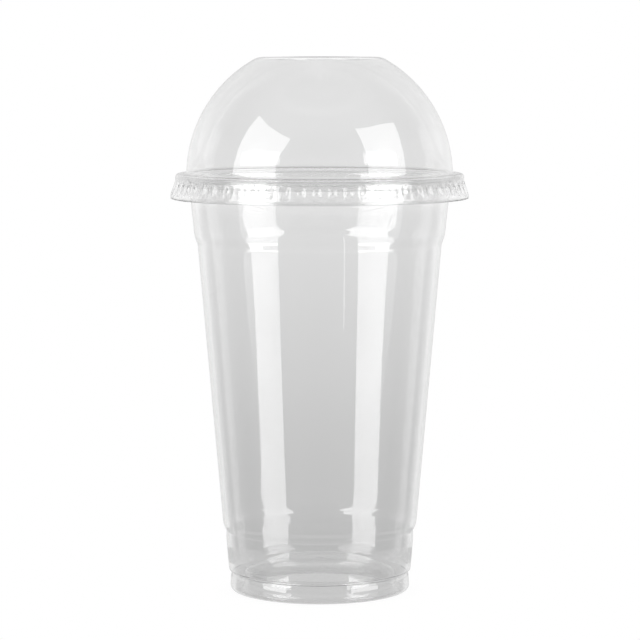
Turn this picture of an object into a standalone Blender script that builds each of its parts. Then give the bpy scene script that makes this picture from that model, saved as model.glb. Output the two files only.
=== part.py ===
"""A clear cold-drink cup with a domed lid, at rest with the lid pressed on.

Two thermoformed pieces: the cup, with a folded foot and a rolled rim, and the lid,
with a dome, a straw hole and a skirt of snap nubs. Each is one sheet of even wall,
turned about the Z axis from the line that its outer face follows in section.
Metres, +Z up; the origin is the centre of the ring that the foot stands on.
"""

import math

import bmesh
import bpy
from mathutils import Vector

MM = 0.001

# Cup: overall sizes
CUP_HEIGHT = 144.0 * MM  # table to the top of the rolled rim
RIM_DIAMETER = 98.0 * MM  # over the rolled rim
ROLL_DIAMETER = 4.4 * MM  # thickness of the roll itself
ROLL_TURN = 300.0  # degrees that the sheet turns through in the roll
FOOT_DIAMETER = 62.4 * MM
CUP_WALL = 0.45 * MM

# Cup: foot and floor
FOOT_HEIGHT = 5.4 * MM  # table to the top of the foot's side
FOOT_RING_WIDTH = 5.0 * MM  # across the fold that the cup stands on
FOOT_RING_DRAFT = 0.4 * MM  # how far the fold's inner side leans in
FOOT_EDGE_RADIUS = 3.0 * MM
GROOVE_RISE = 0.9 * MM  # foot's top up to the groove, which is level with the floor
GROOVE_DEPTH = 0.5 * MM
GROOVE_BLEND = 1.1 * MM  # height over which the groove runs out into the wall
PUSH_UP = 4.5 * MM  # rise of the floor's middle panel
PUSH_UP_DIAMETER = 31.0 * MM
PUSH_UP_SLOPE = 8.0 * MM  # width of the panel's sloping side

# Cup: wall
WALL_OVER_FOOT = 0.25 * MM  # how far outside the foot the wall would start
WALL_LEAN = 0.0876  # growth in radius over height
LEDGE_HEIGHT = 20.1 * MM  # table to the stacking ledge
LEDGE_UPRIGHT = 3.0 * MM  # wall without lean under the ledge
LEDGE_RISE = 2.4 * MM
LEDGE_STEP = 0.87 * MM
LEDGE_RADIUS = 11.0 * MM
SHOULDER_DROP = 22.9 * MM  # rim's top down to the foot of the upper step
SHOULDER_RISE = 1.95 * MM
SHOULDER_STEP = 0.83 * MM
SHOULDER_FOOT_RADIUS = 8.0 * MM
SHOULDER_RADIUS = 1.0 * MM

# How the lid sits on the rim
SEAT_CLEARANCE = 0.3 * MM  # rim's top to the underside of the lid's land
SKIRT_CLEARANCE = 0.3 * MM  # rim's side to the lid's collar
NUB_CLEARANCE = 0.15 * MM  # rim's side to the ridge of a snap nub

# Lid: skirt
LID_WALL = 0.35 * MM
COLLAR_HEIGHT = 2.4 * MM  # upright part of the skirt, from the land down
FLARE_HEIGHT = 4.9 * MM
FLARE_WIDTH = 1.6 * MM
HEM_HEIGHT = 1.1 * MM  # upright edge under the flare
NUB_COUNT = 60
NUB_HEIGHT = 4.3 * MM
NUB_WIDTH = 3.7 * MM
RIDGE_HEIGHT = 1.7 * MM  # upright ridge of a nub, between its tapering ends

# Lid: land, dome and straw hole
LAND_WIDTH = 3.85 * MM  # shelf between the collar and the dome
LAND_EDGE_RADIUS = 1.3 * MM
DOME_HEIGHT = 39.75 * MM  # land to the flat top
DOME_CENTRE_DROP = 0.85 * MM  # how far under the land the dome's centre lies
DOME_FOOT_RADIUS = 1.2 * MM
DOME_EDGE_RADIUS = 7.0 * MM
STRAW_HOLE_DIAMETER = 27.0 * MM
LIP_DEPTH = 0.8 * MM  # turned-down edge of the straw hole
LIP_RADIUS = 0.45 * MM

# Fineness
CUP_COLUMNS = 48
CORNER_STEP = 45.0  # degrees of a rounded corner between two points
ROLL_STEP = 30.0
DOME_STEP = 8.0

# Sizes that follow
RIM_RADIUS = RIM_DIAMETER / 2
ROLL_RADIUS = ROLL_DIAMETER / 2
FOOT_RADIUS = FOOT_DIAMETER / 2
LAND_TOP = CUP_HEIGHT + SEAT_CLEARANCE + LID_WALL
COLLAR_RADIUS = RIM_RADIUS + SKIRT_CLEARANCE + LID_WALL
RIDGE_RADIUS = RIM_RADIUS + NUB_CLEARANCE


def turned(vector, angle):
    """A vector of the section, turned anticlockwise."""
    c, s = math.cos(angle), math.sin(angle)
    return Vector((c * vector.x - s * vector.y, s * vector.x + c * vector.y))


def outward(along):
    """The normal of a line that is walked with the outside on its right."""
    return Vector((along.y, -along.x))


def arc(start, normal, radius, turn, step):
    """Samples along an arc that leaves start square to normal. A positive turn bends
    away from the outside, as round a convex corner."""
    side = math.copysign(1.0, turn)
    centre = start - normal * radius * side
    count = max(1, math.ceil(abs(turn) / math.radians(step) - 1e-6))
    normals = [turned(normal, turn * i / count) for i in range(count + 1)]
    return [(centre + n * radius * side, n) for n in normals]


def line_through(corners):
    """Samples of a line through corners, each (radius, height, rounding).

    A sample is a point of the outer face and the vector from the inner face to it
    for a wall one unit thick, so a sharp corner's is longer than one.
    """
    points = [Vector(corner[:2]) for corner in corners]
    samples = []
    for i, point in enumerate(points):
        before = (point - points[max(i - 1, 0)]).normalized()
        after = (points[min(i + 1, len(points) - 1)] - point).normalized()
        if i in (0, len(points) - 1):
            samples.append((point, outward(before + after)))
            continue
        turn = math.atan2(before.x * after.y - before.y * after.x, before.dot(after))
        rounding = corners[i][2]
        if rounding:
            start = point - before * rounding * math.tan(abs(turn) / 2)
            samples += arc(start, outward(before), rounding, turn, CORNER_STEP)
        else:
            mitre = turned(outward(before), turn / 2) / math.cos(turn / 2)
            samples.append((point, mitre))
    return samples


def both_faces(samples, wall):
    """The points of the outer face, and those of the inner one."""
    return [p for p, _ in samples], [p - n * wall for p, n in samples]


def even_ring(bm, point, count):
    angles = [math.tau * i / count for i in range(count)]
    return [
        bm.verts.new((point.x * math.cos(a), point.x * math.sin(a), point.y))
        for a in angles
    ]


def nub_ring(bm, point, depth):
    """Three points to a nub: its ridge, its far foot and the next nub's near foot."""
    pitch = math.tau / NUB_COUNT
    foot = NUB_WIDTH / 2 / COLLAR_RADIUS
    spots = ((0.0, point.x - depth), (foot, point.x), (pitch - foot, point.x))
    return [
        bm.verts.new((r * math.cos(a), r * math.sin(a), point.y))
        for i in range(NUB_COUNT)
        for a, r in ((i * pitch + turn, r) for turn, r in spots)
    ]


def join_rings(bm, first, second):
    """Faces between two rings. The finer one has an odd number of points for each of
    the coarser one's, or the coarser is a single point on the axis."""
    coarse, fine = sorted((first, second), key=len)
    if len(coarse) == 1:
        for i, corner in enumerate(fine):
            bm.faces.new((coarse[0], fine[i - 1], corner))
        return
    ratio = len(fine) // len(coarse)
    spread = (ratio - 1) // 2
    for i, corner in enumerate(coarse):
        near = [fine[(i * ratio + k) % len(fine)] for k in range(-spread, spread + 2)]
        for a, b in zip(near[:-2], near[1:-1]):
            bm.faces.new((corner, a, b))
        bm.faces.new((corner, *near[-2:], coarse[(i + 1) % len(coarse)]))


def finished(name, bm, rings):
    """The object whose surface joins each ring to the next."""
    for first, second in zip(rings, rings[1:]):
        join_rings(bm, first, second)
    bmesh.ops.recalc_face_normals(bm, faces=bm.faces)
    mesh = bpy.data.meshes.new(name)
    bm.to_mesh(mesh)
    bm.free()
    mesh.shade_smooth()
    mesh.set_sharp_from_angle(angle=math.radians(35))
    made = bpy.data.objects.new(name, mesh)
    bpy.context.scene.collection.objects.link(made)
    return made


def clear_plastic(name, tint, roughness):
    material = bpy.data.materials.new(name)
    material.use_nodes = True
    shader = material.node_tree.nodes["Principled BSDF"]
    shader.inputs["Base Color"].default_value = (*tint, 1.0)
    shader.inputs["Roughness"].default_value = roughness
    shader.inputs["Metallic"].default_value = 0.0
    shader.inputs["IOR"].default_value = 1.57
    shader.inputs["Transmission Weight"].default_value = 1.0
    return material


def cup_section():
    """From the middle of the floor's underside, out round the foot's fold, up the
    wall and over into the rolled rim."""
    floor = FOOT_HEIGHT + GROOVE_RISE
    wall_start = FOOT_RADIUS + WALL_OVER_FOOT
    ledge_radius = wall_start + WALL_LEAN * (LEDGE_HEIGHT - LEDGE_UPRIGHT - floor)
    ledge_top = LEDGE_HEIGHT + LEDGE_RISE
    shoulder = CUP_HEIGHT - SHOULDER_DROP
    neck = RIM_RADIUS - ROLL_DIAMETER + CUP_WALL
    fold = FOOT_RADIUS - FOOT_RING_WIDTH
    panel = PUSH_UP_DIAMETER / 2
    bend = 2 * CUP_WALL

    def main_wall(height):
        return ledge_radius + LEDGE_STEP + WALL_LEAN * (height - LEDGE_HEIGHT)

    groove_end = floor + GROOVE_BLEND
    shoulder_top = shoulder + SHOULDER_RISE
    samples = line_through(
        [
            (0.0, floor + PUSH_UP, 0.0),
            (panel, floor + PUSH_UP, 0.0),
            (panel + PUSH_UP_SLOPE, floor, 0.0),
            (fold - FOOT_RING_DRAFT, floor, bend),
            (fold, 0.0, bend),
            (FOOT_RADIUS, 0.0, FOOT_EDGE_RADIUS),
            (FOOT_RADIUS, FOOT_HEIGHT, bend),
            (FOOT_RADIUS - GROOVE_DEPTH, floor, 0.0),
            (wall_start + WALL_LEAN * GROOVE_BLEND, groove_end, bend),
            (ledge_radius, LEDGE_HEIGHT - LEDGE_UPRIGHT, 0.0),
            (ledge_radius, LEDGE_HEIGHT, bend),
            (main_wall(ledge_top), ledge_top, LEDGE_RADIUS),
            (main_wall(shoulder), shoulder, SHOULDER_FOOT_RADIUS),
            (main_wall(shoulder_top) + SHOULDER_STEP, shoulder_top, SHOULDER_RADIUS),
            (neck, CUP_HEIGHT - ROLL_RADIUS, 0.0),
        ]
    )
    # The roll starts upright, so its first sample takes the place of the wall's last.
    start, _ = samples.pop()
    turn = -math.radians(ROLL_TURN)
    upright = Vector((1.0, 0.0))
    return samples + arc(start, upright, ROLL_RADIUS - CUP_WALL, turn, ROLL_STEP)


def make_cup():
    bm = bmesh.new()
    outer, inner = [
        [[bm.verts.new((0.0, 0.0, points[0].y))]]
        + [even_ring(bm, point, CUP_COLUMNS) for point in points[1:]]
        for points in both_faces(cup_section(), CUP_WALL)
    ]
    made = finished("cup", bm, outer + inner[::-1])
    made.data.materials.append(clear_plastic("cup_plastic", (0.9, 0.91, 0.92), 0.05))


def skirt_section():
    """From the foot of the hem up to the land's edge. The ridges of the nubs stand
    on the fourth and fifth samples, and taper off to the ones around them."""
    collar_foot = LAND_TOP - COLLAR_HEIGHT
    hem_top = collar_foot - FLARE_HEIGHT
    middle = collar_foot - FLARE_HEIGHT / 2
    hem = COLLAR_RADIUS + FLARE_WIDTH

    def on_flare(height):
        share = (collar_foot - height) / FLARE_HEIGHT
        return (COLLAR_RADIUS + FLARE_WIDTH * share, height, 0.0)

    return line_through(
        [
            (hem, hem_top - HEM_HEIGHT, 0.0),
            (hem, hem_top, 0.0),
            on_flare(middle - NUB_HEIGHT / 2),
            on_flare(middle - RIDGE_HEIGHT / 2),
            on_flare(middle + RIDGE_HEIGHT / 2),
            on_flare(middle + NUB_HEIGHT / 2),
            (COLLAR_RADIUS, collar_foot, 0.0),
            (COLLAR_RADIUS, LAND_TOP, LAND_EDGE_RADIUS),
            (COLLAR_RADIUS - LAND_WIDTH, LAND_TOP, 0.0),
        ]
    )[:-1]


def dome_section():
    """From the dome's foot on the land, up and in to the straw hole's lip."""
    radius = COLLAR_RADIUS - LAND_WIDTH
    centre = LAND_TOP - DOME_CENTRE_DROP
    top = LAND_TOP + DOME_HEIGHT
    foot, edge = DOME_FOOT_RADIUS, DOME_EDGE_RADIUS
    start_angle = math.asin((foot + DOME_CENTRE_DROP) / (radius + foot))
    end_angle = math.asin((top - edge - centre) / (radius - edge))
    start = Vector(((radius + foot) * math.cos(start_angle), LAND_TOP))
    up = Vector((0.0, 1.0))
    samples = arc(start, up, foot, start_angle - math.pi / 2, CORNER_STEP)
    for turn, bend in ((end_angle - start_angle, radius), (math.pi / 2 - end_angle, edge)):
        point, normal = samples.pop()
        samples += arc(point, normal, bend, turn, DOME_STEP)
    hole = STRAW_HOLE_DIAMETER / 2
    lip = [(samples[-1][0].x, top, 0.0), (hole, top, LIP_RADIUS), (hole, top - LIP_DEPTH, 0.0)]
    return samples[:-1] + line_through(lip)


def make_lid():
    bm = bmesh.new()
    outer, inner = both_faces(skirt_section() + dome_section(), LID_WALL)
    faces = [
        [
            nub_ring(bm, point, inner[row].x - RIDGE_RADIUS)
            if row in (3, 4)
            else even_ring(bm, point, NUB_COUNT)
            for row, point in enumerate(points)
        ]
        for points in (outer, inner)
    ]
    rings = faces[0] + faces[1][::-1]
    made = finished("dome_lid", bm, rings + rings[:1])
    made.data.materials.append(clear_plastic("lid_plastic", (0.94, 0.95, 0.96), 0.04))


def main():
    for old in list(bpy.data.objects):
        bpy.data.objects.remove(old, do_unlink=True)
    make_cup()
    make_lid()


main()
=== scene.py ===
import math

import bmesh
import bpy
from mathutils import Matrix, Vector


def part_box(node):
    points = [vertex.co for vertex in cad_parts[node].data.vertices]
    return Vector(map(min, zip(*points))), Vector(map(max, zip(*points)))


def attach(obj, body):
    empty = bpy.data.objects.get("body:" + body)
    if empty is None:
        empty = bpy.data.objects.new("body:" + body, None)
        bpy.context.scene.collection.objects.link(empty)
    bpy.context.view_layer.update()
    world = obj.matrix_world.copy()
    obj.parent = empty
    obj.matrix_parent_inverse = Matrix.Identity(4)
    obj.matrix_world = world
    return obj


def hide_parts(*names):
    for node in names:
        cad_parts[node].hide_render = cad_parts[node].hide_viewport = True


mm = 0.001

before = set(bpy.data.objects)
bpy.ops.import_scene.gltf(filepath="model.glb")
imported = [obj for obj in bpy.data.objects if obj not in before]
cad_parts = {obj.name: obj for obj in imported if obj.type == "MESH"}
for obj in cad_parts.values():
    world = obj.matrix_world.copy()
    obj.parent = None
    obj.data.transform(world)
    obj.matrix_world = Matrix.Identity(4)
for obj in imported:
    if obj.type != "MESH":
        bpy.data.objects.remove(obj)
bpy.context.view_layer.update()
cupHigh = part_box("cup")[1]
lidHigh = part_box("dome_lid")[1]
print("frame loaded")


# Section lines, as (radius, height). The outside lies on the right of the walk.

def turned(vector, angle):
    c, s = math.cos(angle), math.sin(angle)
    return Vector((c * vector.x - s * vector.y, s * vector.x + c * vector.y))


def outward(along):
    return Vector((along.y, -along.x))


def arc(start, normal, radius, turn, step):
    side = math.copysign(1.0, turn)
    centre = start - normal * radius * side
    count = max(2, math.ceil(abs(turn) / math.radians(step)))
    normals = [turned(normal, turn * i / count) for i in range(count + 1)]
    return [(centre + n * radius * side, n) for n in normals]


def lineThrough(corners, step):
    # every corner is rounded by its third number; each sample keeps its normal
    points = [Vector(corner[:2]) for corner in corners]
    samples = []
    for i, point in enumerate(points):
        before = (point - points[max(i - 1, 0)]).normalized()
        after = (points[min(i + 1, len(points) - 1)] - point).normalized()
        if i in (0, len(points) - 1):
            samples.append((point, outward(before + after)))
            continue
        turn = math.atan2(before.x * after.y - before.y * after.x, before.dot(after))
        start = point - before * corners[i][2] * math.tan(abs(turn) / 2)
        samples += arc(start, outward(before), corners[i][2], turn, step)
    return samples


def dense(samples, longest):
    # extra samples along the straight runs, so that no face is much longer than wide
    full = [samples[0]]
    for (a, na), (b, nb) in zip(samples, samples[1:]):
        pieces = max(1, math.ceil((b - a).length / longest))
        for k in range(1, pieces + 1):
            t = k / pieces
            full.append((a.lerp(b, t), na.lerp(nb, t).normalized()))
    return full


def roundedEnd(sample, wall, step):
    # half a circle from the outer face round to the inner one
    point, normal = sample
    return [p for p, n in arc(point, normal, wall / 2, math.pi, step)][1:-1]


# The lathe: one node tree turns any section, and can press a ring of nubs into it.

latheSizes = {
    "nubCorners": 4.0,  # two would make an oval nub, and more make its corners squarer
    "mergeDistance": 0.002 * mm,
}


def addNode(tree, kind, **settings):
    node = tree.nodes.new(kind)
    for key, value in settings.items():
        setattr(node, key, value)
    return node


def calc(tree, operation, *values, clamp=False):
    node = addNode(tree, "ShaderNodeMath", operation=operation, use_clamp=clamp)
    for socket, value in zip(node.inputs, values):
        if isinstance(value, (int, float)):
            socket.default_value = value
        else:
            tree.links.new(value, socket)
    return node.outputs[0]


def greyRamp(tree, factor, stops):
    ramp = addNode(tree, "ShaderNodeValToRGB")
    elements = ramp.color_ramp.elements
    elements.remove(elements[1])
    for i, (at, grey) in enumerate(stops):
        stop = elements[0] if i == 0 else elements.new(at)
        stop.position = at
        stop.color = (grey, grey, grey, 1.0)
    tree.links.new(factor, ramp.inputs["Fac"])
    return ramp.outputs["Color"]


def latheTree(s):
    tree = bpy.data.node_groups.new("Lathe with nubs", "GeometryNodeTree")
    face = tree.interface
    face.new_socket("Geometry", in_out="OUTPUT", socket_type="NodeSocketGeometry")
    face.new_socket("Section", in_out="INPUT", socket_type="NodeSocketGeometry")
    face.new_socket("Rows", in_out="INPUT", socket_type="NodeSocketInt")
    face.new_socket("Columns", in_out="INPUT", socket_type="NodeSocketInt")
    face.new_socket("Plastic", in_out="INPUT", socket_type="NodeSocketMaterial")
    for name in ("Count", "Depth", "Flank", "Half Angle", "Middle", "Half Height"):
        face.new_socket("Nub " + name, in_out="INPUT", socket_type="NodeSocketFloat")
    given = addNode(tree, "NodeGroupInput").outputs
    link = tree.links.new

    grid = addNode(tree, "GeometryNodeMeshGrid")
    link(calc(tree, "ADD", given["Columns"], 1), grid.inputs["Vertices X"])
    link(given["Rows"], grid.inputs["Vertices Y"])
    index = addNode(tree, "GeometryNodeInputIndex").outputs[0]
    column = calc(tree, "FLOOR", calc(tree, "DIVIDE", index, given["Rows"]))
    row = calc(tree, "SUBTRACT", index, calc(tree, "MULTIPLY", column, given["Rows"]))
    angle = calc(tree, "MULTIPLY", calc(tree, "DIVIDE", column, given["Columns"]), math.tau)

    position = addNode(tree, "GeometryNodeInputPosition").outputs[0]
    sample = addNode(tree, "GeometryNodeSampleIndex", data_type="FLOAT_VECTOR")
    link(given["Section"], sample.inputs["Geometry"])
    link(position, sample.inputs["Value"])
    link(row, sample.inputs["Index"])
    spot = addNode(tree, "ShaderNodeSeparateXYZ")
    link(sample.outputs[0], spot.inputs[0])
    radius, height = spot.outputs["X"], spot.outputs["Z"]

    # how deep the nub is here: one on its flat middle, nought at its rounded outline
    power = s["nubCorners"]
    pitch = calc(tree, "DIVIDE", math.tau, given["Nub Count"])
    half = calc(tree, "MULTIPLY", pitch, 0.5)
    across = calc(tree, "WRAP", angle, half, calc(tree, "MULTIPLY", half, -1.0))
    across = calc(tree, "POWER", calc(tree, "DIVIDE", across, given["Nub Half Angle"]), power)
    along = calc(tree, "SUBTRACT", height, given["Nub Middle"])
    along = calc(tree, "POWER", calc(tree, "DIVIDE", along, given["Nub Half Height"]), power)
    outline = calc(tree, "POWER", calc(tree, "ADD", across, along), 1.0 / power)
    inside = calc(tree, "SUBTRACT", 1.0, outline)
    share = calc(tree, "DIVIDE", inside, given["Nub Flank"], clamp=True)
    sunk = calc(tree, "SUBTRACT", radius, calc(tree, "MULTIPLY", share, given["Nub Depth"]))

    place = addNode(tree, "ShaderNodeCombineXYZ")
    link(calc(tree, "MULTIPLY", sunk, calc(tree, "COSINE", angle)), place.inputs["X"])
    link(calc(tree, "MULTIPLY", sunk, calc(tree, "SINE", angle)), place.inputs["Y"])
    link(height, place.inputs["Z"])
    move = addNode(tree, "GeometryNodeSetPosition")
    link(grid.outputs["Mesh"], move.inputs["Geometry"])
    link(place.outputs[0], move.inputs["Position"])
    merge = addNode(tree, "GeometryNodeMergeByDistance")
    merge.inputs["Distance"].default_value = s["mergeDistance"]
    link(move.outputs[0], merge.inputs["Geometry"])
    smooth = addNode(tree, "GeometryNodeSetShadeSmooth")
    link(merge.outputs[0], smooth.inputs["Geometry"])
    real = addNode(tree, "GeometryNodeRealizeInstances")
    link(smooth.outputs[0], real.inputs["Geometry"])
    dress = addNode(tree, "GeometryNodeSetMaterial")
    link(real.outputs[0], dress.inputs["Geometry"])
    link(given["Plastic"], dress.inputs["Material"])
    link(dress.outputs[0], addNode(tree, "NodeGroupOutput").inputs["Geometry"])
    return tree


def turnedPiece(name, points, tree, columns, plastic, nubs):
    # the section is a line of points; the tree reads it as the modified object's own mesh
    mesh = bpy.data.meshes.new(name + "_section")
    mesh.from_pydata([(p.x, 0.0, p.y) for p in points], [], [])
    blank = bpy.data.objects.new(name + "_blank", mesh)
    bpy.context.scene.collection.objects.link(blank)
    modifier = blank.modifiers.new("Lathe", "NODES")
    modifier.node_group = tree
    values = {"Rows": len(points), "Columns": columns, "Plastic": plastic, **nubs}
    for socket in tree.interface.items_tree:
        if socket.in_out == "INPUT" and socket.name in values:
            modifier[socket.identifier] = values[socket.name]
    blank.update_tag()
    graph = bpy.context.evaluated_depsgraph_get()
    made = bpy.data.meshes.new_from_object(blank.evaluated_get(graph))
    bpy.data.objects.remove(blank, do_unlink=True)
    made.name = name
    skin = bmesh.new()
    skin.from_mesh(made)
    bmesh.ops.recalc_face_normals(skin, faces=skin.faces)
    skin.to_mesh(made)
    skin.free()
    piece = bpy.data.objects.new(name, made)
    bpy.context.scene.collection.objects.link(piece)
    print(name, len(made.polygons), "faces")
    return piece


# Clear plastic

clearLook = {
    "ior": 1.57,
    "roughness": 0.02,
    "roughnessSpread": 0.3,
    "patchScale": 60.0,
    "tintDrift": 0.74 * mm,  # how far the unevenness moves the tint up and down the wall
}


def clearPlastic(name, stops, s):
    material = bpy.data.materials.new(name)
    material.use_nodes = True
    tree = material.node_tree
    shader = tree.nodes["Principled BSDF"]
    link = tree.links.new
    where = addNode(tree, "ShaderNodeTexCoord").outputs["Object"]
    spot = addNode(tree, "ShaderNodeSeparateXYZ")
    link(where, spot.inputs[0])
    # grey of the sheet against height, which paints shade and light up and down the walls, with a
    # faint unevenness from the forming
    noise = addNode(tree, "ShaderNodeTexNoise")
    noise.inputs["Scale"].default_value = s["patchScale"]
    link(where, noise.inputs["Vector"])
    drift = calc(tree, "SUBTRACT", noise.outputs["Fac"], 0.5)
    level = calc(tree, "MULTIPLY_ADD", drift, s["tintDrift"], spot.outputs["Z"])
    height = calc(tree, "DIVIDE", level, lidHigh[2])
    link(
        greyRamp(tree, height, [(z / lidHigh[2], grey) for z, grey in stops]),
        shader.inputs["Base Color"],
    )
    dull = addNode(tree, "ShaderNodeMapRange")
    dull.inputs["To Min"].default_value = s["roughness"] * (1.0 - s["roughnessSpread"])
    dull.inputs["To Max"].default_value = s["roughness"] * (1.0 + s["roughnessSpread"])
    link(noise.outputs["Fac"], dull.inputs["Value"])
    link(dull.outputs[0], shader.inputs["Roughness"])
    shader.inputs["Metallic"].default_value = 0.0
    shader.inputs["IOR"].default_value = s["ior"]
    shader.inputs["Transmission Weight"].default_value = 1.0
    return material


# Cup

cupSizes = {
    "wall": 0.45 * mm,
    "footHeight": 5.4 * mm,
    "footRingWidth": 5.0 * mm,
    "footRingDraft": 0.4 * mm,
    "footRingLean": 0.38 * mm,
    "footRadius": 31.2 * mm,
    "footFold": 2.0 * mm,
    "footEdge": 1.8 * mm,
    "footRingTopEdge": 0.7 * mm,
    "grooveRise": 0.9 * mm,
    "grooveDepth": 0.65 * mm,
    "grooveBottomRounding": 0.25 * mm,
    "grooveBlend": 1.1 * mm,
    "grooveBlendRounding": 0.9 * mm,
    "floorRise": 4.5 * mm,
    "floorSink": 0.25 * mm,
    "floorPlateau": 15.0 * mm,
    "floorBend": 25.0 * mm,
    "floorFall": 4.3 * mm,
    "floorRounding": 1.0 * mm,
    "wallOverFoot": 0.25 * mm,
    "lean": 0.0876,
    "ledgeHeight": 20.95 * mm,
    "ledgeUpright": 3.35 * mm,
    "ledgeFootRounding": 4.0 * mm,
    "ledgeCorner": 1.2 * mm,
    "ledgeRise": 2.2 * mm,
    "ledgeStep": 0.87 * mm,
    "ledgeRounding": 7.0 * mm,
    "shoulderDrop": 23.8 * mm,
    "shoulderRise": 2.9 * mm,
    "shoulderStep": 0.83 * mm,
    "shoulderFootRounding": 4.0 * mm,
    "shoulderRounding": 9.0 * mm,
    "rollDiameter": 4.4 * mm,
    "rollTurn": 205.0,
    "cornerStep": 6.0,
    "rollStep": 8.0,
    "endStep": 60.0,
    "longestRow": 3.5 * mm,
    "columns": 288,
}


def cupPoints(s):
    rim, top, foot, wall = cupHigh[0], cupHigh[2], s["footRadius"], s["wall"]
    floor = s["footHeight"] + s["grooveRise"]
    wallStart = foot + s["wallOverFoot"]
    underLedge = s["ledgeHeight"] - s["ledgeUpright"]
    ledge = wallStart + s["lean"] * (underLedge - floor)
    ledgeTop = s["ledgeHeight"] + s["ledgeRise"]
    shoulder = top - s["shoulderDrop"]
    shoulderTop = shoulder + s["shoulderRise"]
    neck = rim - s["rollDiameter"] + wall
    fold = foot - s["footRingWidth"]
    floorEdge = fold - s["footRingDraft"]
    crown = floor + s["floorRise"]
    plateau = crown - s["floorSink"]
    blendTop = floor + s["grooveBlend"]

    def mainWall(height):
        return ledge + s["ledgeStep"] + s["lean"] * (height - s["ledgeHeight"])

    samples = lineThrough(
        [
            (0.0, crown, 0.0),
            (s["floorPlateau"], plateau, s["floorBend"]),
            (floorEdge, plateau - s["floorFall"], s["floorRounding"]),
            (fold, 0.0, s["footFold"]),
            (foot, 0.0, s["footEdge"]),
            (foot - s["footRingLean"], s["footHeight"], s["footRingTopEdge"]),
            (foot - s["grooveDepth"], floor, s["grooveBottomRounding"]),
            (wallStart + s["lean"] * s["grooveBlend"], blendTop, s["grooveBlendRounding"]),
            (ledge, underLedge, s["ledgeFootRounding"]),
            (ledge, s["ledgeHeight"], s["ledgeCorner"]),
            (mainWall(ledgeTop), ledgeTop, s["ledgeRounding"]),
            (mainWall(shoulder), shoulder, s["shoulderFootRounding"]),
            (mainWall(shoulderTop) + s["shoulderStep"], shoulderTop, s["shoulderRounding"]),
            (neck, top - s["rollDiameter"] / 2, 0.0),
        ],
        s["cornerStep"],
    )
    start, _ = samples.pop()
    turn = -math.radians(s["rollTurn"])
    samples += arc(start, Vector((1.0, 0.0)), s["rollDiameter"] / 2 - wall, turn, s["rollStep"])
    samples = dense(samples, s["longestRow"])
    outer = [p for p, n in samples]
    inner = [p - n * wall for p, n in samples]
    return outer + roundedEnd(samples[-1], wall, s["endStep"]) + inner[::-1]


# Lid

lidSizes = {
    "wall": 0.35 * mm,
    "flareWidth": 1.6 * mm,
    "hemHeight": 1.1 * mm,
    "hemBend": 0.5 * mm,
    "flareHeight": 4.9 * mm,
    "collarHeight": 2.4 * mm,
    "collarBend": 0.6 * mm,
    "landWidth": 3.85 * mm,
    "landEdge": 1.3 * mm,
    "domeHeight": 39.75 * mm,
    "domeCentreDrop": 0.85 * mm,
    "domeFoot": 1.2 * mm,
    "domeEdge": 7.0 * mm,
    "strawHoleRadius": 13.5 * mm,
    "lipDepth": 0.8 * mm,
    "lipRounding": 0.45 * mm,
    "nubCount": 60,
    "nubHeight": 4.6 * mm,
    "nubWidth": 3.1 * mm,
    "nubFlank": 0.62,
    "nubRise": 0.3 * mm,
    "nubClearance": 0.4 * mm,
    "cornerStep": 10.0,
    "domeStep": 5.0,
    "endStep": 45.0,
    "longestRow": 0.7 * mm,
    "longestCrownRow": 1.5 * mm,
    "columns": 720,
}


def lidPoints(s):
    hem, wall = lidHigh[0], s["wall"]
    collar = hem - s["flareWidth"]
    land = lidHigh[2] - s["domeHeight"]
    collarFoot = land - s["collarHeight"]
    hemTop = collarFoot - s["flareHeight"]
    skirt = lineThrough(
        [
            (hem, hemTop - s["hemHeight"], 0.0),
            (hem, hemTop, s["hemBend"]),
            (collar, collarFoot, s["collarBend"]),
            (collar, land, s["landEdge"]),
            (collar - s["landWidth"], land, 0.0),
        ],
        s["cornerStep"],
    )[:-1]
    skirt = dense(skirt, s["longestRow"])
    radius = collar - s["landWidth"]
    centre = land - s["domeCentreDrop"]
    top = lidHigh[2]
    foot, edge = s["domeFoot"], s["domeEdge"]
    startAngle = math.asin((foot + s["domeCentreDrop"]) / (radius + foot))
    endAngle = math.asin((top - edge - centre) / (radius - edge))
    start = Vector(((radius + foot) * math.cos(startAngle), land))
    dome = arc(start, Vector((0.0, 1.0)), foot, startAngle - math.pi / 2, s["cornerStep"])
    for turn, bend, step in (
        (endAngle - startAngle, radius, s["domeStep"]),
        (math.pi / 2 - endAngle, edge, 2 * s["domeStep"]),
    ):
        point, normal = dome.pop()
        dome += arc(point, normal, bend, turn, step)
    hole = s["strawHoleRadius"]
    lip = lineThrough(
        [
            (dome.pop()[0].x, top, 0.0),
            (hole, top, s["lipRounding"]),
            (hole, top - s["lipDepth"], 0.0),
        ],
        s["cornerStep"],
    )
    samples = skirt + dome + dense(lip, s["longestCrownRow"])
    outer = [p for p, n in samples]
    inner = [p - n * wall for p, n in samples]
    lipEnd = roundedEnd(samples[-1], wall, s["endStep"])
    hemEnd = roundedEnd((inner[0], -samples[0][1]), wall, s["endStep"])
    points = outer + lipEnd + inner[::-1] + hemEnd + outer[:1]
    middle = collarFoot - s["flareHeight"] / 2 + s["nubRise"]
    depth = collar + s["flareWidth"] / 2 - wall - (cupHigh[0] + s["nubClearance"])
    nubs = {
        "Nub Count": float(s["nubCount"]),
        "Nub Depth": depth,
        "Nub Flank": s["nubFlank"],
        "Nub Half Angle": s["nubWidth"] / 2 / collar,
        "Nub Middle": middle,
        "Nub Half Height": s["nubHeight"] / 2,
    }
    return points, nubs


lathe = latheTree(latheSizes)
noNubs = {
    "Nub Count": 1.0,
    "Nub Depth": 0.0,
    "Nub Flank": 1.0,
    "Nub Half Angle": 1.0,
    "Nub Middle": 0.0,
    "Nub Half Height": 1.0,
}
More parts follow.
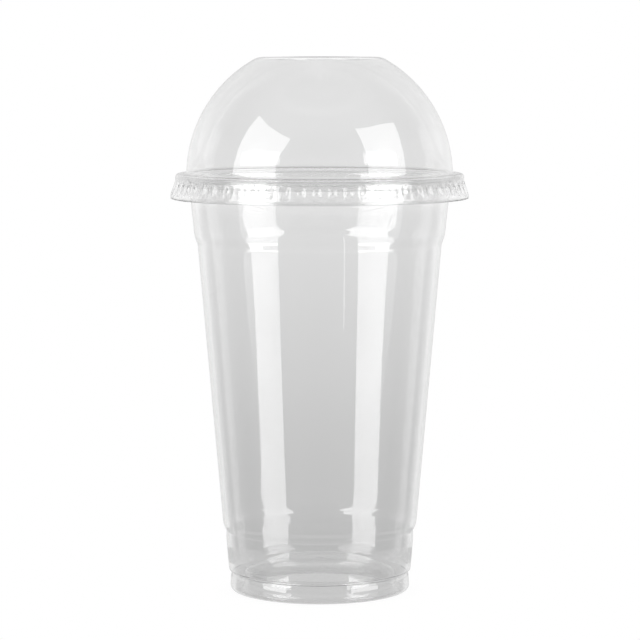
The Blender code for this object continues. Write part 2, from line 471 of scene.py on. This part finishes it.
# grey against height, with painted shade: darker at the foot, the hem and the land's edge, and
# lighter under the rim
cupGreyWithPaintedShade = [
    (0.0, 0.885),
    (6.2 * mm, 0.89),
    (15.2 * mm, 0.912),
    (19.2 * mm, 0.915),
    (131.2 * mm, 0.915),
    (137.2 * mm, 0.98),
    (144.0 * mm, 0.98),
]
lidGreyWithPaintedShade = [
    (136.0 * mm, 0.86),
    (136.9 * mm, 0.86),
    (137.4 * mm, 0.95),
    (139.7 * mm, 0.92),
    (142.6 * mm, 0.92),
    (143.1 * mm, 0.76),
    (143.8 * mm, 0.76),
    (144.2 * mm, 0.93),
    (147.7 * mm, 0.915),
    (184.0 * mm, 0.915),
]

cupShell = turnedPiece(
    "cupShell",
    cupPoints(cupSizes),
    lathe,
    cupSizes["columns"],
    clearPlastic("Cup plastic", cupGreyWithPaintedShade, clearLook),
    noNubs,
)
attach(cupShell, "cup_body")
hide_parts("cup")

points, nubs = lidPoints(lidSizes)
lidShell = turnedPiece(
    "lidShell",
    points,
    lathe,
    lidSizes["columns"],
    clearPlastic("Lid plastic", lidGreyWithPaintedShade, clearLook),
    nubs,
)
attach(lidShell, "lid_body")
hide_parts("dome_lid")


# Studio: a white table in a white room, two tall softboxes and a narrow strip of light

studio = {
    "cameraDistance": 1.010,
    "cameraHeight": 0.1896,
    "cameraAzimuth": 271.1,
    "cameraPitch": 5.415,
    "cameraRoll": -0.03,
    "cameraSide": 0.0001,
    "lens": 165.2,
    "sensorWidth": 36.0,
    "farthestSeen": 20.0,
    "bounces": 40,
    "mirrorBounces": 12,
    "softboxDistance": 1.15,
    "softboxMiddle": 0.1,
    "frontWallDepth": 2.5,  # light that passed more clear faces than this met a back wall
    # (elevation, inner edge, outer edge, glow in front walls, glow in back walls);
    # the edges in degrees from the camera's side
    "softboxLeft": [
        (-34, 40.5, 75, 3.0, 0.5),
        (-24.5, 40.5, 74, 3.0, 0.5),
        (-24.2, 40.5, 73, 0.55, 0.5),
        (-16.2, 40.2, 69.5, 0.55, 0.5),
        (-15.2, 40.5, 71, 0.6, 1.5),
        (-13, 41.5, 75, 0.8, 3.9),
        (-10, 42.5, 77, 1.1, 3.9),
        (-9.2, 43, 77, 3.4, 3.9),
        (-6, 43, 77, 3.4, 3.9),
        (-5, 43, 76, 1.6, 4.0),
        (-3, 42.5, 74, 1.7, 4.0),
        (1, 41, 72, 1.85, 4.1),
        (2.6, 40.5, 72, 1.85, 3.6),
        (5.2, 39.6, 73, 1.85, 3.3),
        (5.45, 39.5, 80, 1.85, 3.2),
        (7, 38.9, 79.4, 2.1, 3.6),
        (9.5, 38, 78.5, 2.5, 3.4),
        (12, 37.5, 77.8, 2.7, 3.8),
        (15, 37, 77.2, 2.8, 4.2),
        (20, 35.4, 77.2, 2.7, 4.5),
        (26.6, 31.3, 76.1, 2.6, 4.5),
        (33.9, 27.6, 75.5, 2.5, 4.5),
        (36.8, 38.7, 75.1, 2.5, 4.0),
        (41, 55, 74, 2.5, 3.0),
        (45.5, 72.4, 73, 2.5, 2.5),
    ],
    "softboxRight": [
        (-34, 37.5, 75, 3.0, 0.5),
        (-24.5, 37.5, 74, 3.0, 0.5),
        (-24.2, 37.5, 73, 0.55, 0.5),
        (-16.2, 37.4, 69, 0.55, 0.5),
        (-15.2, 37.2, 71, 0.6, 1.5),
        (-13, 37.5, 76, 0.75, 3.7),
        (-10, 39, 79, 0.95, 3.7),
        (-9.2, 39.5, 79, 2.9, 3.7),
        (-6, 40.5, 79, 2.9, 3.7),
        (-5, 41, 78, 1.4, 3.7),
        (-3, 42, 74, 1.35, 3.8),
        (1, 42.7, 72.5, 1.35, 3.8),
        (2.6, 42.6, 72, 1.4, 3.3),
        (5.2, 42.5, 73, 1.5, 3.1),
        (5.45, 42.5, 79.5, 1.6, 3.0),
        (7, 42.3, 78.8, 1.9, 3.4),
        (9.5, 42, 78, 2.3, 3.2),
        (12, 41.9, 78.1, 2.6, 3.8),
        (16.7, 41.6, 78.4, 2.6, 4.2),
        (24, 40.8, 79.3, 2.6, 4.5),
        (31.6, 39.6, 81.3, 2.5, 4.5),
        (37.3, 38.2, 83, 2.4, 4.5),
        (39.3, 37.5, 59, 2.4, 4.3),
        (41.2, 36.9, 38, 2.4, 4.0),
    ],
    "lightStrip": [
        (3.7, 25.1, 26.3, 2.0, 2.5),
        (10.4, 23.5, 24.7, 2.0, 2.5),
    ],
    # what the walls mirror: elevation, then (azimuth from straight behind, grey)
    "surroundings": [
        (-60, [(0, 0.7), (45, 0.5), (90, 0.5), (180, 0.4)]),
        (-27, [
            (6, 0.9), (29, 0.8), (45, 0.7), (64, 0.4), (78, 0.32),
            (92, 0.25), (110, 0.5), (140, 0.5), (165, 0.3),
        ]),
        (-10, [
            (6, 0.75), (29, 0.95), (37, 1.05), (45, 0.7), (53, 0.5),
            (64, 0.6), (78, 0.4), (92, 0.3), (140, 0.4), (165, 0.3),
        ]),
        (1, [
            (6, 0.8), (18, 1.0), (29, 1.05), (53, 0.95), (64, 0.9),
            (78, 0.45), (92, 0.35), (140, 0.4), (165, 0.5),
        ]),
        (12, [
            (6, 0.75), (18, 0.9), (29, 1.0), (53, 1.1),
            (64, 1.0), (78, 0.55), (92, 0.5), (165, 0.4),
        ]),
        (27, [(6, 1.2), (18, 0.9), (53, 0.95), (64, 0.75), (78, 0.5), (92, 0.45), (165, 0.3)]),
        (45, [(6, 1.05), (18, 0.9), (29, 0.8), (53, 0.85), (64, 0.6), (78, 0.5), (165, 0.45)]),
        (72, [(0, 0.75), (45, 0.6), (90, 0.5), (180, 0.5)]),
    ],
    # painted shade round the cup: how bright the table looks through the walls, against distance
    # from the cup
    "tablePaintedShade": [
        (0.02, 0.775), (0.046, 0.7), (0.08, 0.658), (0.117, 0.651), (0.16, 0.69),
        (0.225, 0.7), (0.315, 0.717), (0.455, 0.754), (0.67, 0.813), (0.975, 0.862),
        (1.37, 0.911), (1.95, 0.958), (2.75, 1.0),
    ],
    "tableHalfWidth": 4.0,
    "tableGap": 0.05 * mm,
    "contactReach": 8 * mm,
    "contactShade": 0.98,
    "contactSamples": 8,
    # the ring of the table whose painted shade the walls mirror, as inner and outer radius
    "shadedRing": (0.062, 0.088),
}


def seenDirectly(tree):
    # one for rays that come from the camera straight or through the clear walls,
    # and nought for what the walls mirror
    path = addNode(tree, "ShaderNodeLightPath").outputs
    mirrored = calc(tree, "GREATER_THAN", path["Glossy Depth"], 0.5)
    through = calc(tree, "SUBTRACT", path["Is Transmission Ray"], mirrored, clamp=True)
    return calc(tree, "MAXIMUM", path["Is Camera Ray"], through)


def makeWorld(s):
    world = bpy.data.worlds.new("Studio")
    bpy.context.scene.world = world
    world.use_nodes = True
    tree = world.node_tree
    link = tree.links.new
    turn = addNode(tree, "ShaderNodeMapping")
    turn.inputs["Rotation"].default_value[2] = math.radians(270.0 - s["cameraAzimuth"])
    link(addNode(tree, "ShaderNodeTexCoord").outputs["Generated"], turn.inputs["Vector"])
    spot = addNode(tree, "ShaderNodeSeparateXYZ")
    link(turn.outputs[0], spot.inputs[0])
    side = calc(tree, "ABSOLUTE", spot.outputs["X"])
    azimuth = calc(tree, "DIVIDE", calc(tree, "ARCTAN2", side, spot.outputs["Y"]), math.pi)
    level = None
    for elevation, stops in s["surroundings"]:
        band = greyRamp(tree, azimuth, [(angle / 180.0, grey) for angle, grey in stops])
        if level is None:
            level = band
        else:
            rise = addNode(tree, "ShaderNodeMapRange", interpolation_type="SMOOTHSTEP")
            rise.inputs["From Min"].default_value = math.sin(math.radians(below))
            rise.inputs["From Max"].default_value = math.sin(math.radians(elevation))
            link(spot.outputs["Z"], rise.inputs["Value"])
            mix = addNode(tree, "ShaderNodeMix", data_type="FLOAT")
            link(rise.outputs[0], mix.inputs["Factor"])
            link(level, mix.inputs["A"])
            link(band, mix.inputs["B"])
            level = mix.outputs["Result"]
        below = elevation
    seen = addNode(tree, "ShaderNodeMix", data_type="FLOAT")
    link(seenDirectly(tree), seen.inputs["Factor"])
    link(level, seen.inputs["A"])
    seen.inputs["B"].default_value = 1.0
    link(seen.outputs["Result"], tree.nodes["Background"].inputs["Color"])


def makeFloor(s):
    mesh = bpy.data.meshes.new("floor")
    far = s["tableHalfWidth"]
    mesh.from_pydata(
        [(-far, -far, 0.0), (far, -far, 0.0), (far, far, 0.0), (-far, far, 0.0)],
        [],
        [(0, 1, 2, 3)],
    )
    floor = bpy.data.objects.new("floor", mesh)
    floor.location.z = -s["tableGap"]
    bpy.context.scene.collection.objects.link(floor)
    material = bpy.data.materials.new("White floor")
    material.use_nodes = True
    tree = material.node_tree
    link = tree.links.new
    tree.nodes.remove(tree.nodes["Principled BSDF"])
    near = addNode(tree, "ShaderNodeAmbientOcclusion", samples=s["contactSamples"])
    near.inputs["Distance"].default_value = s["contactReach"]
    shade = addNode(tree, "ShaderNodeMapRange")
    shade.inputs["To Min"].default_value = s["contactShade"]
    link(near.outputs["AO"], shade.inputs["Value"])
    length = addNode(tree, "ShaderNodeVectorMath", operation="LENGTH")
    link(addNode(tree, "ShaderNodeTexCoord").outputs["Object"], length.inputs[0])
    first, last = s["tablePaintedShade"][0][0], s["tablePaintedShade"][-1][0]
    base = last / first
    step = calc(tree, "LOGARITHM", calc(tree, "DIVIDE", length.outputs["Value"], first), base)
    paintedShade = greyRamp(tree, step, [(math.log(r / first, base), grey) for r, grey in s["tablePaintedShade"]])
    # rays through the walls see the painted shade, and camera rays see the table white with the
    # contact shade
    seen = addNode(tree, "ShaderNodeMix", data_type="FLOAT")
    link(addNode(tree, "ShaderNodeLightPath").outputs["Is Camera Ray"], seen.inputs["Factor"])
    link(paintedShade, seen.inputs["A"])
    link(shade.outputs[0], seen.inputs["B"])
    glow = addNode(tree, "ShaderNodeEmission")
    link(seen.outputs["Result"], glow.inputs["Color"])
    inner, outer = s["shadedRing"]
    past = calc(tree, "GREATER_THAN", length.outputs["Value"], inner)
    within = calc(tree, "LESS_THAN", length.outputs["Value"], outer)
    shown = calc(tree, "MAXIMUM", seenDirectly(tree), calc(tree, "MULTIPLY", past, within))
    mix = addNode(tree, "ShaderNodeMixShader")
    link(shown, mix.inputs[0])
    link(addNode(tree, "ShaderNodeBsdfTransparent").outputs[0], mix.inputs[1])
    link(glow.outputs[0], mix.inputs[2])
    link(mix.outputs[0], tree.nodes["Material Output"].inputs["Surface"])
    mesh.materials.append(material)
    floor.visible_shadow = False


def makeSoftbox(name, side, s):
    # a strip of faces between the inner and outer edges, on a sphere round the cup
    corners = []
    for elevation, *edges, front, back in s[name]:
        up = math.radians(elevation)
        for edge in edges:
            around = math.radians(s["cameraAzimuth"] + side * edge)
            flat = s["softboxDistance"] * math.cos(up)
            height = s["softboxMiddle"] + s["softboxDistance"] * math.sin(up)
            corners.append((flat * math.cos(around), flat * math.sin(around), height))
    faces = [(i, i + 1, i + 3, i + 2) for i in range(0, len(corners) - 2, 2)]
    mesh = bpy.data.meshes.new(name)
    mesh.from_pydata(corners, [], faces)
    box = bpy.data.objects.new(name, mesh)
    bpy.context.scene.collection.objects.link(box)
    material = bpy.data.materials.new(name)
    material.use_nodes = True
    tree = material.node_tree
    tree.nodes.remove(tree.nodes["Principled BSDF"])
    spot = addNode(tree, "ShaderNodeSeparateXYZ")
    tree.links.new(addNode(tree, "ShaderNodeTexCoord").outputs["Object"], spot.inputs[0])
    low, high = corners[0][2], corners[-1][2]
    height = addNode(tree, "ShaderNodeMapRange")
    height.inputs["From Min"].default_value = low
    height.inputs["From Max"].default_value = high
    tree.links.new(spot.outputs["Z"], height.inputs["Value"])
    levels = addNode(tree, "ShaderNodeMix", data_type="FLOAT")
    passed = addNode(tree, "ShaderNodeLightPath").outputs["Transmission Depth"]
    inBackWalls = calc(tree, "GREATER_THAN", passed, s["frontWallDepth"])
    tree.links.new(inBackWalls, levels.inputs["Factor"])
    rises = [(corner[2] - low) / (high - low) for corner in corners[::2]]
    for socket, column in (("A", -2), ("B", -1)):
        stops = [(rise, row[column]) for rise, row in zip(rises, s[name])]
        tree.links.new(greyRamp(tree, height.outputs[0], stops), levels.inputs[socket])
    glow = addNode(tree, "ShaderNodeEmission")
    tree.links.new(levels.outputs["Result"], glow.inputs["Color"])
    tree.links.new(glow.outputs[0], tree.nodes["Material Output"].inputs["Surface"])
    mesh.materials.append(material)
    box.visible_camera = False


def makeCamera(s):
    data = bpy.data.cameras.new("camera")
    data.lens = s["lens"]
    data.sensor_width = s["sensorWidth"]
    data.clip_end = s["farthestSeen"]
    camera = bpy.data.objects.new("camera", data)
    bpy.context.scene.collection.objects.link(camera)
    turn = math.radians(s["cameraAzimuth"])
    place = Matrix.Rotation(turn + math.pi / 2, 4, "Z") @ Matrix.Translation(
        (s["cameraSide"], -s["cameraDistance"], s["cameraHeight"])
    )
    look = Matrix.Rotation(math.radians(90.0 - s["cameraPitch"]), 4, "X")
    roll = Matrix.Rotation(math.radians(s["cameraRoll"]), 4, "Z")
    camera.matrix_world = place @ look @ roll
    bpy.context.scene.camera = camera


makeWorld(studio)
makeFloor(studio)
makeSoftbox("softboxLeft", -1, studio)
makeSoftbox("softboxRight", 1, studio)
makeSoftbox("lightStrip", -1, studio)
makeCamera(studio)
scene = bpy.context.scene
scene.view_settings.view_transform = "Standard"
scene.cycles.max_bounces = studio["bounces"]
scene.cycles.transmission_bounces = studio["bounces"]
scene.cycles.glossy_bounces = studio["mirrorBounces"]
print("studio set")
